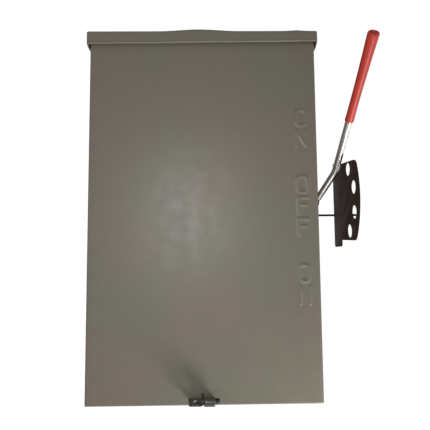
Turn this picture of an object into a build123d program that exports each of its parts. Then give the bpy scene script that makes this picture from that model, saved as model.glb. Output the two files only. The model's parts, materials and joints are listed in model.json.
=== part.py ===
"""Outdoor double-throw AC disconnect (safety switch) with a lift-up front cover.

Frame: the origin is the centre of the four wall-mounting holes on the back face.
+X is to the right of a person facing the box, +Z is up, and the box stands out of
the wall along -Y.  The handle is modelled at its upper ON position.
"""
from build123d import *
import math
import os

os.makedirs("parts", exist_ok=True)

# ---- driving dimensions, millimetres ----
SHEET = 1.9                  # 14 gauge sheet steel
BODY_HALF_W = 203.2          # a 16 inch wide box
BODY_FRONT_Y = -222.0        # front edge of the box behind the cover
COVER_FRONT_Y = -228.0       # front face of the cover, 9 inches off the wall
OVERALL_H = 660.4            # hood to bottom of cover, 26 inches
TOP_Z = OVERALL_H / 2
BOTTOM_Z = -OVERALL_H / 2

# front cover
COVER_HALF_W = 205.75
COVER_TOP_Z = 317.0
COVER_FLANGE = 22.0
HINGE_Y = -205.0
HINGE_Z = 282.0
HINGE_PIN_R = 3.175
HINGE_HOLE_R = 3.25

# rain hood
HOOD_HALF_W = 210.5
HOOD_FRONT_Y = -237.0
HOOD_LIP_H = 23.0
HOOD_SIDE_BOTTOM_Z = 302.0
HOOD_CORNER_CUT = 25.0
CROWN_X = -5.0               # shallow crown pressed into the front of the roof
CROWN_CHORD = 138.0
CROWN_RISE = 3.5

# embossed switch positions on the cover
LETTER_X = 177.6
LETTER_W = 22.5
LETTER_H = 33.5
LETTER_GAP = 4.5             # the letters of a legend stand upright, one below the other
LETTER_STROKE = 5.0
LETTER_RISE = 1.0
LEGENDS = (("ON", 150.5), ("OFF", 10.5), ("ON", -127.5))

# handle pivot and throw
PIVOT_Y = -138.0
PIVOT_Z = 21.5
THROW = 41.0                 # degrees from OFF to either ON
SHAFT_R = 7.94
ROD_R = 6.35
HANDLE_X = 246.0             # plane that the outer part of the rod swings in
HUB_X0 = 208.9
HUB_X1 = 218.0
HUB_R = 16.0
HUB_NOSE_X1 = 228.5          # boss that the rod is welded into
HUB_NOSE_R = 12.5
SHAFT_END_X = 220.0
ROD_ROOT_X = 224.5           # where the rod's line meets the pivot axis
ROD_START_REACH = 8.0
ROD_BEND_REACH = 79.0
ROD_END_REACH = 345.0
ROD_BEND_R = 70.0
GRIP_START = 196.0
GRIP_END = 353.0
GRIP_R_START = 7.8
GRIP_R_END = 8.9

# index plate that the handle is padlocked to
PLATE_X0 = 277.0
PLATE_T = 2.0
PLATE_REACH = 96.0           # pivot to the middle of the curved front edge
PLATE_ARC_R = 150.0
PLATE_ARC_RISE = 8.0         # centre of the curved edge above the pivot
PLATE_TOP = (75.0, 73.5)     # back and front ends of the level edges, from the pivot
PLATE_BOTTOM = (-79.0, -75.5)
STRIP_TOP = 81.0
STRIP_BOTTOM = (-96.0, -92.0)
PLATE_CORNER_R = 18.0
PLATE_HOLE_R = 12.7
PLATE_HOLE_CIRCLE = 69.5
PLATE_HOLE_STEP = 38.75      # degrees between neighbouring holes
STRIP_Y0 = -125.0
STRIP_Y1 = -78.0
STRIP_CORNER_R = 5.0
WEB_Z = -7.4
WEB_T = 4.4
WEB_Y1 = -40.0                # the web runs behind the plate, from its back edge to here
TAIL_Y0 = -172.0             # and forward again along the plate's outer face
TAIL_END_X = 299.0
TAIL_CORNER_R = 8.0
FOOT_X = BODY_HALF_W + 3.0
FOOT_BOTTOM_Z = -54.0
BRACKET_BOLTS = ((-68.0, -40.0), (-50.0, -40.0))

# padlock hasp and slide bolt at the bottom of the cover
TAB_X0 = -26.5
TAB_X1 = -5.2
TAB_T = 1.5
TAB_FRONT_Y = -253.0
COVER_TAB_Z = -319.0         # underside of the cover's tab
BODY_TAB_Z = -320.8          # underside of the box's tab
HASP_HOLE_R = 7.5
HASP_HOLE_X = -12.5
HASP_HOLE_Y = -242.5
EAR_X0 = -4.5
EAR_X1 = -2.0
EAR_TOP_Z = -311.0
BOLT_Y = -245.0
BOLT_Z = -316.0
BOLT_R = 3.175
BOLT_X0 = 0.5                # tip of the bolt when it is drawn back
BARREL_R = 7.2
BARREL_Z = -317.1
BARREL_X0 = -1.6
BARREL_X1 = 17.8
BARREL_DOME_R = (3.0, 0.8)   # rounding of its closed end and of its mouth
MOUTH_R = 5.0                # the barrel's open end, which the knob slides into
MOUTH_X0 = 12.4
KNOB_X0 = 18.3
KNOB_X1 = 25.2
KNOB_R = 4.6
KNOB_WALL = 1.6

# switch poles
POLE_X = (-100.0, -20.0, 60.0)
POLE_LEFT = 28.0             # base width to the left and right of the blade
POLE_RIGHT = 48.0
PAN_Y = -25.0                # front face of the mounting pan
BASE_Y = -45.0               # front face of the insulating bases
BASE_HALF_H = 171.5
BLADE_T = 4.0
BLADE_W = 22.0
BLADE_REACH = 82.0
CROSSBAR = 22.0
CLIP_GAP = 2.3               # blade centre to the inside of a clip's leaf
LEAF_T = 2.0
STRAP_T = 3.0
LUG_H = 26.0
LUG_BORE_R = 7.5
BEARING_X = (-151.0, 114.0)  # left faces of the two bearing brackets
BEARING_T = 3.0
JOURNAL_R = 10.0

# wall mounting and conduit entries
WALL_HOLE_DX = 304.8
WALL_HOLE_DZ = 508.0
WALL_HOLE_R = 4.4
HUB_CENTRE = (0.0, -110.0)
HUB_OPENING_R = 38.0
HUB_PLATE_R = 52.0
HUB_SCREW_CIRCLE = 45.0

HUB_SCREW_R = 2.6
HUB_SCREWS = [(HUB_CENTRE[0] + HUB_SCREW_CIRCLE * math.cos(math.radians(45 + 90 * k)),
               HUB_CENTRE[1] + HUB_SCREW_CIRCLE * math.sin(math.radians(45 + 90 * k)))
              for k in range(4)]
HUB_GASKET_T = 1.6
HUB_PLATE_T = 3.0
HUB_DOME = (36.0, 31.0, 5.0) # lower radius, upper radius and height of the raised middle
HUB_NUT_H = 3.2

# sheet-metal details
BODY_CORNER_R = 3.5
BODY_INNER_R = 1.6
BODY_FLANGE = 14.0           # turned-in flange round the mouth of the box
END_WALL_LIFT = 3.2          # the bottom end wall sits this far above the lower edge
END_WALL_RIM = 16.0
END_WALL_TONGUE = (60.0, 32.0)
KNOCKOUTS = ((-90.0, -112.0, (14.0, 22.0, 31.5)), (60.0, -112.0, (14.0, 22.0, 31.5)),
             (140.0, -70.0, (11.0, 17.0)))
SCORE_HALF_W = 0.4
SCORE_DEPTH = 1.2
COVER_BEND_R = 2.8
EAR_HALF_H = 10.0            # hinge ears
EAR_TAIL = 9.0
EAR_CORNER_R = 7.0
PIN_HEAD_R = 5.5
PIN_HEAD_X = (206.05, 208.0)
PIN_TAIL_X = 199.3
HOOD_CORNER_R = 4.0
HOOD_FOLD_R = 2.6
HEM_H = 7.0
HOOD_RELIEF = (-165.0, 294.0) # back end and bottom of the notch in the box's flanges
RIVET_Z = -320.0
SADDLE_Z = (-323.4, -317.0)  # foot of the latch's barrel
RIVET_R = 1.6
RIVET_TAIL = (2.9, 1.2)      # radius and height of the closed end
RIVET_INSET = 4.5
HASP_CORNER_R = (7.0, 5.0)   # cover's tab, box's tab
COVER_LEG_H = 24.0
BODY_LEG_X1 = 26.5
BODY_LEG_TOP_Z = -299.0
EAR_HALF_D = 5.0             # latch ear, along Y
SLOT_GAP = 1.0
BUSHING_R = 11.0
BUSHING_FLANGE_R = 16.0
BUSHING_FLANGE_T = 3.0
BUSHING_NUT = 28.0
LOCKNUT_H = 5.0
BRACKET_BOLT_R = 3.2
BRACKET_BOLT_HEX = 10.0
SEAL_R = 14.0
SEAL_END_X = 208.4
GRIP_VENT_R = 2.2
RUNNING_FIT = 0.06           # radial gap between a turning part and its bore
GRIP_TIP_H = 6.0
GRIP_TIP_FLAT = 2.5
GRIP_TIP_ARC = 6.6

# mechanism
TANG = 5.0                   # half side of the shaft's square end
TANG_X = (96.0, 126.0)
CROSSBAR_X = (-144.0, 110.0)
JOURNAL_X = (-158.0, 126.0)
ARM_X = 131.0
ARM_T = 5.0
STOP_R = 36.0                # pivot to the stop pins
STOP_PIN_R = 4.0
STOP_HALF_GAP = 10.5
PAN_HALF_W = 178.0
PAN_Z = (-238.0, 232.0)
PAN_SHEET = 2.0
PAN_STUDS = ((-166.0, -226.0), (-166.0, 220.0), (166.0, -226.0), (166.0, 220.0))
FRAME_FRONT_Y = -172.0       # front edge of the bearing brackets and barriers
BEARING_HALF_H = 42.0

solids = {}


def keep(node, *pieces):
    """Add pieces to a node; each piece stays a separate solid."""
    solids.setdefault(node, []).extend(pieces)


def block(x0, x1, y0, y1, z0, z1):
    """A box between two corners."""
    centre = Pos((x0 + x1) / 2, (y0 + y1) / 2, (z0 + z1) / 2)
    return centre * Box(abs(x1 - x0), abs(y1 - y0), abs(z1 - z0))


def rod_x(radius, x0, x1, y, z):
    """A cylinder along X."""
    return Pos((x0 + x1) / 2, y, z) * Rot(0, 90, 0) * Cylinder(radius, abs(x1 - x0))


def rod_y(radius, y0, y1, x, z):
    """A cylinder along Y."""
    return Pos(x, (y0 + y1) / 2, z) * Rot(90, 0, 0) * Cylinder(radius, abs(y1 - y0))


def rod_z(radius, z0, z1, x, y):
    """A cylinder along Z."""
    return Pos(x, y, (z0 + z1) / 2) * Cylinder(radius, abs(z1 - z0))


def plate_x(sketch, x0, thickness):
    """Extrude an outline drawn in (Y, Z) along +X."""
    return extrude(Plane.YZ.offset(x0) * sketch, amount=thickness)


def hex_y(across, y0, y1, x, z):
    """A hexagonal head or nut along Y."""
    outline = RegularPolygon(across / 2, 6, major_radius=False)
    return extrude(Plane.XZ.offset(-max(y0, y1)) * Pos(x, z) * outline, amount=abs(y1 - y0))


def hex_x(across, x0, x1, y, z):
    """A hexagonal head or nut along X."""
    outline = RegularPolygon(across / 2, 6, major_radius=False)
    return plate_x(Pos(y, z) * outline, x0, x1 - x0)


def turned(shape, angle):
    """Turn a shape about the handle's axis; negative angles raise the handle."""
    there = Pos(0, PIVOT_Y, PIVOT_Z)
    back = Pos(0, -PIVOT_Y, -PIVOT_Z)
    return there * Rot(angle, 0, 0) * back * shape


def slotted_screw_y(head_r, head_h, shank_r, y_head, y_end, x, z):
    """A round-head slotted screw whose head faces -Y."""
    head = rod_y(head_r, y_head - head_h, y_head, x, z)
    slot = block(x - head_r, x + head_r, y_head - head_h, y_head - head_h / 2, z - 0.7, z + 0.7)
    return head + rod_y(shank_r, y_head, y_end, x, z) - slot


# ---- enclosure ----

def make_enclosure_body():
    """Back and sides folded from one sheet, with turned-in flanges at the front."""
    low = BOTTOM_Z + END_WALL_LIFT
    high = TOP_Z - SHEET
    depth = -BODY_FRONT_Y
    outer = RectangleRounded(2 * BODY_HALF_W, depth, BODY_CORNER_R)
    inner = RectangleRounded(2 * (BODY_HALF_W - SHEET), depth - 2 * SHEET, BODY_INNER_R)
    ring = extrude(outer - inner, amount=(high - low) / 2, both=True)
    body = Pos(0, BODY_FRONT_Y / 2, (high + low) / 2) * ring
    mouth = BODY_HALF_W - BODY_FLANGE
    body -= block(-mouth, mouth, BODY_FRONT_Y - 1, BODY_FRONT_Y + 4, -400, 400)
    for side in (-1, 1):
        body -= block(side * (mouth - 5), side * 210, -230, HOOD_RELIEF[0], HOOD_RELIEF[1], 400)
        body -= rod_x(HINGE_PIN_R, side * 195, side * 210, HINGE_Y, HINGE_Z)
        for dz in (-1, 1):
            x = side * WALL_HOLE_DX / 2
            z = dz * WALL_HOLE_DZ / 2
            body -= rod_y(WALL_HOLE_R, -10, 10, x, z)
    body -= rod_x(BUSHING_R, 190, 210, PIVOT_Y, PIVOT_Z)
    for y, z in BRACKET_BOLTS:
        body -= rod_x(BRACKET_BOLT_R, 190, 210, y, z)
    keep("enclosure_body", body)


def make_bottom_wall():
    """Welded end wall: a tray with scored concentric conduit knockouts."""
    z0 = BOTTOM_Z + END_WALL_LIFT
    rim_top = z0 + END_WALL_RIM
    half = BODY_HALF_W - SHEET
    y0 = BODY_FRONT_Y + SHEET
    tray = block(-half, half, y0, -SHEET, z0, rim_top)
    tray = fillet(tray.edges().filter_by(Axis.Z), BODY_INNER_R)
    tray -= block(-half + SHEET, half - SHEET, y0 + SHEET, -2 * SHEET, z0 + SHEET, rim_top + 1)
    tongue_w, tongue_h = END_WALL_TONGUE
    tray += block(-tongue_w, tongue_w, y0, y0 + SHEET, z0, z0 + tongue_h)
    for x, y, radii in KNOCKOUTS:
        for r in radii:
            groove = rod_z(r + SCORE_HALF_W, z0 - 1, z0 + SCORE_DEPTH, x, y)
            tray -= groove - rod_z(r - SCORE_HALF_W, z0 - 2, z0 + 2, x, y)
    keep("bottom_wall", tray)


def make_top_hood():
    """Roof pan that overhangs the cover, with a hemmed drip lip and side skirts."""
    lip_z = TOP_Z - HOOD_LIP_H
    hood = block(-HOOD_HALF_W, HOOD_HALF_W, HOOD_FRONT_Y, 0, HOOD_SIDE_BOTTOM_Z, TOP_Z)
    front_edges = hood.edges().filter_by(Axis.Z).group_by(Axis.Y)[0]
    hood = fillet(front_edges, HOOD_CORNER_R)
    hood = fillet(hood.faces().sort_by(Axis.Z)[-1].edges(), HOOD_FOLD_R)
    inner_half = HOOD_HALF_W - SHEET
    hood -= block(-inner_half, inner_half, HOOD_FRONT_Y + SHEET, 5, 200, TOP_Z - SHEET)
    hood -= block(-300, 300, HOOD_FRONT_Y - 1, HOOD_FRONT_Y + 2 * SHEET, 200, lip_z)
    cut_y = HOOD_FRONT_Y + HOOD_CORNER_CUT
    wedge = make_face(Polyline((HOOD_FRONT_Y - 1, lip_z), (cut_y, HOOD_SIDE_BOTTOM_Z),
                               (cut_y, 200), (HOOD_FRONT_Y - 1, 200), close=True))
    hood -= plate_x(wedge, -300, 600)
    hem = block(-inner_half, inner_half, HOOD_FRONT_Y + SHEET, HOOD_FRONT_Y + 2 * SHEET,
                lip_z, lip_z + HEM_H)
    hood += hem
    radius = (CROWN_CHORD ** 2 / 4 + CROWN_RISE ** 2) / (2 * CROWN_RISE)
    crown = rod_y(radius, HOOD_FRONT_Y + 2.5, -200, CROWN_X, TOP_Z + CROWN_RISE - radius)
    crown &= block(-100, 100, -240, -190, TOP_Z - 1, TOP_Z + 10)
    hood += crown
    hood -= rod_z(HUB_OPENING_R, 300, 340, *HUB_CENTRE)
    for x, y in HUB_SCREWS:
        hood -= rod_z(HUB_SCREW_R, 300, 340, x, y)
    keep("top_hood", hood)


def make_hub_closure():
    """Plate, gasket and screws that close the conduit hub opening in the roof."""
    x, y = HUB_CENTRE
    gasket_top = TOP_Z + HUB_GASKET_T
    plate_top = gasket_top + HUB_PLATE_T
    gasket = rod_z(HUB_PLATE_R - 1, TOP_Z, gasket_top, x, y)
    gasket -= rod_z(HUB_OPENING_R, 300, 340, x, y)
    plate = rod_z(HUB_PLATE_R, gasket_top, plate_top, x, y)
    dome_h = HUB_DOME[2]
    plate += Pos(x, y, plate_top + dome_h / 2) * Cone(*HUB_DOME)
    for sx, sy in HUB_SCREWS:
        gasket -= rod_z(HUB_SCREW_R, 300, 340, sx, sy)
        plate -= rod_z(HUB_SCREW_R, 300, 345, sx, sy)
        head = rod_z(4.5, plate_top, plate_top + 3, sx, sy)
        head -= block(sx - 5, sx + 5, sy - 0.6, sy + 0.6, plate_top + 1.6, plate_top + 4)
        shank = rod_z(HUB_SCREW_R, TOP_Z - 7, plate_top, sx, sy)
        nut = extrude(Plane.XY.offset(TOP_Z - SHEET - HUB_NUT_H) * Pos(sx, sy)
                      * RegularPolygon(4.4, 6, major_radius=False), amount=HUB_NUT_H)
        keep("hub_screws", head + shank + nut)
    keep("hub_gasket", gasket)
    keep("hub_cap", plate)


def make_hinge_pins():
    """Shoulder rivets that the cover swings on."""
    inner = BODY_HALF_W - SHEET
    for side in (-1, 1):
        pin = rod_x(HINGE_PIN_R, side * inner, side * PIN_HEAD_X[0], HINGE_Y, HINGE_Z)
        pin += rod_x(PIN_HEAD_R, side * PIN_HEAD_X[0], side * PIN_HEAD_X[1], HINGE_Y, HINGE_Z)
        pin += rod_x(PIN_HEAD_R, side * PIN_TAIL_X, side * inner, HINGE_Y, HINGE_Z)
        keep("hinge_pins", pin)


# ---- front cover, hasp and slide bolt ----

def letter(character):
    """One block letter as a flat outline, centred on its own middle."""
    w = LETTER_W
    h = LETTER_H
    s = LETTER_STROKE
    stem = Pos(-(w - s) / 2, 0) * Rectangle(s, h)
    if character == "O":
        return RectangleRounded(w, h, 9.0) - RectangleRounded(w - 2 * s, h - 2 * s, 4.0)
    if character == "N":
        far_stem = Pos((w - s) / 2, 0) * Rectangle(s, h)
        slope = 1.4 * s
        diagonal = make_face(Polyline((-w / 2, h / 2), (slope - w / 2, h / 2), (w / 2, -h / 2),
                                      (w / 2 - slope, -h / 2), close=True))
        return stem + far_stem + diagonal
    top_bar = Pos(0, (h - s) / 2) * Rectangle(w, s)
    middle_bar = Pos(-1.5, 1.0) * Rectangle(w - 3.0, s)
    return stem + top_bar + middle_bar


def make_front_cover():
    """Lift-up cover: a pan that hangs from its hinge ears behind the hood's lip."""
    inner_y = COVER_FRONT_Y + SHEET
    back_y = COVER_FRONT_Y + COVER_FLANGE
    cover = block(-COVER_HALF_W, COVER_HALF_W, COVER_FRONT_Y, back_y, BOTTOM_Z, COVER_TOP_Z)
    corners = cover.edges().filter_by(Axis.Z).group_by(Axis.Y)[0]
    bottom = cover.faces().sort_by(Axis.Z)[0].edges().group_by(Axis.Y)[0]
    cover = fillet(corners + bottom, COVER_BEND_R)
    inner_half = COVER_HALF_W - SHEET
    cover -= block(-inner_half, inner_half, inner_y, back_y + 5, BOTTOM_Z + SHEET, COVER_TOP_Z + 5)
    for side in (-1, 1):
        ear = block(side * inner_half, side * COVER_HALF_W, back_y - 1, HINGE_Y + EAR_TAIL,
                    HINGE_Z - EAR_HALF_H, HINGE_Z + EAR_HALF_H)
        ear = fillet(ear.edges().filter_by(Axis.X).group_by(Axis.Y)[-1], EAR_CORNER_R)
        cover += ear
        cover -= rod_x(HINGE_HOLE_R, side * 200, side * 210, HINGE_Y, HINGE_Z)
    slot_x1 = EAR_X1 + SLOT_GAP
    cover -= block(TAB_X0 - SLOT_GAP, slot_x1, -235, inner_y + 0.5, BOTTOM_Z + 3.0,
                   COVER_TAB_Z + TAB_T)
    cover -= block(EAR_X0 - SLOT_GAP, slot_x1, -235, inner_y + 0.5, COVER_TAB_Z,
                   EAR_TOP_Z + SLOT_GAP)
    for x in (BARREL_X0 + RIVET_INSET, BARREL_X1 - RIVET_INSET):
        cover -= rod_y(RIVET_R, -235, -220, x, RIVET_Z)
    for word, z in LEGENDS:
        pitch = LETTER_H + LETTER_GAP
        for index, character in enumerate(word):
            offset = (index - (len(word) - 1) / 2) * pitch
            face_plane = Plane(origin=(LETTER_X, COVER_FRONT_Y, z - offset), x_dir=(1, 0, 0),
                               z_dir=(0, -1, 0))
            cover += extrude(face_plane * letter(character), amount=LETTER_RISE)
    keep("front_cover", cover)


def make_hasps():
    """Two hasp tabs that one padlock shackle passes through."""
    inner_y = COVER_FRONT_Y + SHEET
    cover_hasp = block(TAB_X0, TAB_X1, TAB_FRONT_Y, inner_y + TAB_T, COVER_TAB_Z,
                       COVER_TAB_Z + TAB_T)
    front_corners = cover_hasp.edges().filter_by(Axis.Z).group_by(Axis.Y)[0]
    cover_hasp = fillet(front_corners, HASP_CORNER_R[0])
    cover_hasp += block(TAB_X0, TAB_X1, inner_y, inner_y + TAB_T, COVER_TAB_Z,
                        COVER_TAB_Z + COVER_LEG_H)
    cover_hasp -= rod_z(HASP_HOLE_R, -330, -300, HASP_HOLE_X, HASP_HOLE_Y)
    keep("cover_hasp", cover_hasp)

    leg_y = BODY_FRONT_Y + SHEET
    body_hasp = block(TAB_X0, EAR_X1, TAB_FRONT_Y, leg_y, BODY_TAB_Z, BODY_TAB_Z + TAB_T)
    front_corners = body_hasp.edges().filter_by(Axis.Z).group_by(Axis.Y)[0]
    body_hasp = fillet(front_corners, HASP_CORNER_R[1])
    body_hasp += block(TAB_X0, BODY_LEG_X1, leg_y - TAB_T, leg_y, BOTTOM_Z + 5, BODY_LEG_TOP_Z)
    ear = block(EAR_X0, EAR_X1, BOLT_Y - EAR_HALF_D, BOLT_Y + EAR_HALF_D, BODY_TAB_Z + TAB_T,
                EAR_TOP_Z)
    body_hasp += fillet(ear.edges().filter_by(Axis.X).group_by(Axis.Z)[-1], 4.5)
    body_hasp -= rod_x(BOLT_R + 0.5, -8, 2, BOLT_Y, BOLT_Z)
    body_hasp -= rod_z(HASP_HOLE_R, -330, -300, HASP_HOLE_X, HASP_HOLE_Y)
    keep("body_hasp", body_hasp)


def make_slide_bolt():
    """Barrel riveted to the cover, with a bolt that slides left into the box's ear."""
    barrel = rod_x(BARREL_R, BARREL_X0, BARREL_X1, BOLT_Y, BARREL_Z)
    closed_r, mouth_r = BARREL_DOME_R
    barrel = fillet(barrel.edges().group_by(Axis.X)[0], closed_r)
    barrel = fillet(barrel.edges().group_by(Axis.X)[-1], mouth_r)
    barrel += block(BARREL_X0 + closed_r, BARREL_X1 - mouth_r, BOLT_Y, COVER_FRONT_Y, *SADDLE_Z)
    barrel -= rod_x(BOLT_R + RUNNING_FIT, -10, 30, BOLT_Y, BOLT_Z)
    barrel -= rod_x(MOUTH_R, MOUTH_X0, BARREL_X1 + 1, BOLT_Y, BOLT_Z)
    inner_y = COVER_FRONT_Y + SHEET
    tail_r, tail_h = RIVET_TAIL
    for x in (BARREL_X0 + RIVET_INSET, BARREL_X1 - RIVET_INSET):
        barrel += rod_y(RIVET_R, COVER_FRONT_Y, inner_y, x, RIVET_Z)
        barrel += rod_y(tail_r, inner_y, inner_y + tail_h, x, RIVET_Z)
    keep("latch_barrel", barrel)
    bolt_end = KNOB_X1 - KNOB_WALL / 2
    bolt = rod_x(BOLT_R, BOLT_X0, bolt_end, BOLT_Y, BOLT_Z)
    bolt = chamfer(bolt.edges().group_by(Axis.X)[0], 0.8)
    keep("latch_bolt", bolt)
    knob = rod_x(KNOB_R, KNOB_X0, KNOB_X1, BOLT_Y, BOLT_Z)
    knob = fillet(knob.edges().group_by(Axis.X)[-1], 1.2)
    knob -= rod_x(BOLT_R, KNOB_X0 - 1, bolt_end, BOLT_Y, BOLT_Z)
    keep("latch_knob", knob)


# ---- handle, shaft and index plate ----

def make_handle():
    """Hub on the shaft, cranked chrome rod and vinyl grip."""
    slope = (HANDLE_X - ROD_ROOT_X) / ROD_BEND_REACH
    start = (ROD_ROOT_X + slope * ROD_START_REACH, PIVOT_Y - ROD_START_REACH, PIVOT_Z)
    bend = (HANDLE_X, PIVOT_Y - ROD_BEND_REACH, PIVOT_Z)
    end = (HANDLE_X, PIVOT_Y - ROD_END_REACH, PIVOT_Z)
    path = FilletPolyline(start, bend, end, radius=ROD_BEND_R)
    section = Plane(origin=start, z_dir=path % 0) * Circle(ROD_R)
    rod = sweep(section, path=path)
    keep("handle_rod", turned(rod, -THROW))

    hub = rod_x(HUB_R, HUB_X0, HUB_X1, PIVOT_Y, PIVOT_Z)
    hub = fillet(hub.edges().group_by(Axis.X)[-1], 3.0)
    nose = rod_x(HUB_NOSE_R, HUB_X1 - 1, HUB_NOSE_X1, PIVOT_Y, PIVOT_Z)
    hub += fillet(nose.edges().group_by(Axis.X)[-1], 4.0)
    hub -= rod_x(SHAFT_R, 200, SHAFT_END_X, PIVOT_Y, PIVOT_Z)
    root_plane = Plane(origin=start, z_dir=Vector(slope, -1, 0))
    hub -= extrude(root_plane * Circle(ROD_R), amount=60)
    keep("handle_hub", turned(hub, -THROW))

    shoulder = GRIP_END - GRIP_TIP_H
    profile = make_face(Curve() + [
        Line((0, GRIP_START), (GRIP_R_START, GRIP_START)),
        Line((GRIP_R_START, GRIP_START), (GRIP_R_END, shoulder)),
        RadiusArc((GRIP_R_END, shoulder), (GRIP_TIP_FLAT, GRIP_END), -GRIP_TIP_ARC),
        Line((GRIP_TIP_FLAT, GRIP_END), (0, GRIP_END)),
        Line((0, GRIP_END), (0, GRIP_START)),
    ])
    grip = revolve(profile, Axis.Y)
    grip -= Pos(0, ROD_END_REACH / 2, 0) * Rot(90, 0, 0) * Cylinder(ROD_R, ROD_END_REACH)
    grip -= Pos(0, GRIP_END, 0) * Rot(90, 0, 0) * Cylinder(GRIP_VENT_R, 30)
    grip = Pos(HANDLE_X, PIVOT_Y, PIVOT_Z) * Rot(0, 0, 180) * grip
    keep("handle_grip", turned(grip, -THROW))


def make_shaft():
    """Steel operating shaft, insulated crossbar, stop arm, bushing and seal."""
    shaft = rod_x(SHAFT_R, TANG_X[1], SHAFT_END_X, PIVOT_Y, PIVOT_Z)
    shaft += block(*TANG_X, PIVOT_Y - TANG, PIVOT_Y + TANG, PIVOT_Z - TANG, PIVOT_Z + TANG)
    keep("operating_shaft", turned(shaft, -THROW))

    half = CROSSBAR / 2
    bar = block(*CROSSBAR_X, PIVOT_Y - half, PIVOT_Y + half, PIVOT_Z - half, PIVOT_Z + half)
    bar = chamfer(bar.edges().filter_by(Axis.X), 1.5)
    bar += rod_x(JOURNAL_R, *JOURNAL_X, PIVOT_Y, PIVOT_Z)
    bar -= block(TANG_X[0], TANG_X[1] + 4, PIVOT_Y - TANG, PIVOT_Y + TANG, PIVOT_Z - TANG,
                 PIVOT_Z + TANG)
    keep("crossbar", turned(bar, -THROW))

    arm = Circle(15.0) + Pos(-22, 0) * RectangleRounded(44, 12, 5.9)
    arm = Pos(PIVOT_Y, PIVOT_Z) * (arm - Circle(SHAFT_R))
    keep("stop_arm", turned(plate_x(arm, ARM_X, ARM_T), -THROW))

    stop_angle = math.radians(THROW) + math.asin(STOP_HALF_GAP / STOP_R)
    for sign in (-1, 1):
        y = PIVOT_Y - STOP_R * math.cos(stop_angle)
        z = PIVOT_Z + sign * STOP_R * math.sin(stop_angle)
        keep("stop_pins", rod_x(STOP_PIN_R, BEARING_X[1] + BEARING_T, 140, y, z))

    wall = BODY_HALF_W - SHEET
    flange_x = BODY_HALF_W + BUSHING_FLANGE_T
    bushing = rod_x(BUSHING_R, wall, BODY_HALF_W, PIVOT_Y, PIVOT_Z)
    bushing += rod_x(BUSHING_FLANGE_R, BODY_HALF_W, flange_x, PIVOT_Y, PIVOT_Z)
    bushing += hex_x(BUSHING_NUT, wall - LOCKNUT_H, wall, PIVOT_Y, PIVOT_Z)
    bushing -= rod_x(SHAFT_R + RUNNING_FIT, 180, 220, PIVOT_Y, PIVOT_Z)
    keep("shaft_bushing", bushing)
    seal = rod_x(SEAL_R, flange_x, SEAL_END_X, PIVOT_Y, PIVOT_Z)
    seal -= rod_x(SHAFT_R + 0.35, 180, 220, PIVOT_Y, PIVOT_Z)
    keep("shaft_seal", seal)


def make_index_plate():
    """Padlocking plate beside the handle, and the bracket that carries it."""
    strip_mid = (STRIP_Y0 + STRIP_Y1) / 2 - PIVOT_Y
    lobe = make_face(Polyline((strip_mid, PLATE_TOP[0]), (-PLATE_REACH, PLATE_TOP[1]),
                              (-PLATE_REACH, PLATE_BOTTOM[1]), (strip_mid, PLATE_BOTTOM[0]),
                              close=True))
    lobe &= Pos(PLATE_ARC_R - PLATE_REACH, PLATE_ARC_RISE) * Circle(PLATE_ARC_R)
    lobe = fillet(lobe.vertices().sort_by(Axis.X)[:2], PLATE_CORNER_R)
    front = STRIP_Y0 - PIVOT_Y
    back = STRIP_Y1 - PIVOT_Y
    strip = make_face(Polyline((front, STRIP_TOP), (back, STRIP_TOP), (back, STRIP_BOTTOM[0]),
                               (front, STRIP_BOTTOM[1]), close=True))
    outline = lobe + fillet(strip.vertices(), STRIP_CORNER_R)
    for sign in (-1, 1):
        for half_steps in (0.5, 1.5):
            angle = math.radians(sign * half_steps * PLATE_HOLE_STEP)
            centre = Pos(-PLATE_HOLE_CIRCLE * math.cos(angle), PLATE_HOLE_CIRCLE * math.sin(angle))
            outline -= centre * Circle(PLATE_HOLE_R)
    keep("index_plate", plate_x(Pos(PIVOT_Y, PIVOT_Z) * outline, PLATE_X0, PLATE_T))

    wall = BODY_HALF_W - SHEET
    plate_back_x = PLATE_X0 + PLATE_T
    web_z0 = WEB_Z - WEB_T / 2
    web_z1 = WEB_Z + WEB_T / 2
    tail = block(plate_back_x, TAIL_END_X, TAIL_Y0, WEB_Y1, web_z0, web_z1)
    web = fillet(tail.edges().filter_by(Axis.Z).group_by(Axis.X)[-1], TAIL_CORNER_R)
    web += block(FOOT_X, plate_back_x, STRIP_Y1, WEB_Y1, web_z0, web_z1)
    web += block(BODY_HALF_W, FOOT_X, STRIP_Y1, WEB_Y1, FOOT_BOTTOM_Z, web_z1)
    for y, z in BRACKET_BOLTS:
        web -= rod_x(BRACKET_BOLT_R, 190, 215, y, z)
        bolt = hex_x(BRACKET_BOLT_HEX, FOOT_X, FOOT_X + 4, y, z)
        bolt += rod_x(BRACKET_BOLT_R, 193, FOOT_X, y, z)
        bolt += hex_x(BRACKET_BOLT_HEX, wall - LOCKNUT_H, wall, y, z)
        keep("bracket_bolts", bolt)
    keep("index_bracket", web)


# ---- switch mechanism on its mounting pan ----

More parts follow.
